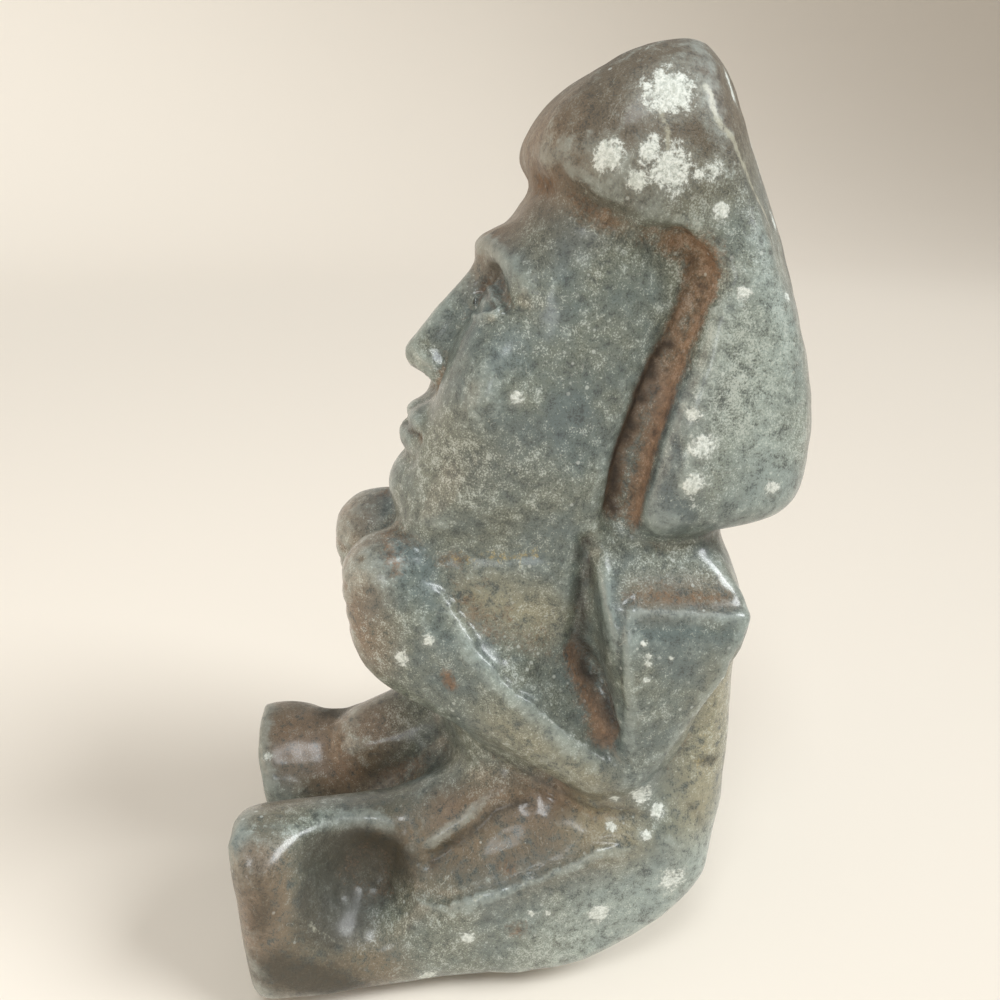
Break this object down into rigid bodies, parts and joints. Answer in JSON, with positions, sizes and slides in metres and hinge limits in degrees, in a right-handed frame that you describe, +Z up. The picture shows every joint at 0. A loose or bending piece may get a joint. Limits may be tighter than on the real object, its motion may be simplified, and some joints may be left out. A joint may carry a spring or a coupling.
{
  "type": "stone warrior sculpture",
  "caption": "Seated stone warrior carved in one piece: head thrown back under a heavy hood with a thick neck flap, chin on raised hands, thick feet set toes up.",
  "frame": {"origin": "on the table, in the middle of the figure's width and straight under the front of its neck", "axes": "+Z up from the underside to the crown, -Y the way the figure faces, +X its left side"},
  "size_m": [0.1014, 0.155, 0.2397],
  "materials": {
    "carved_stone": "semi-polished grey-green stone with soil in the hollows"
  },
  "bodies": {
    "root": {"stone_warrior": "carved_stone"}
  },
  "joints": []
}
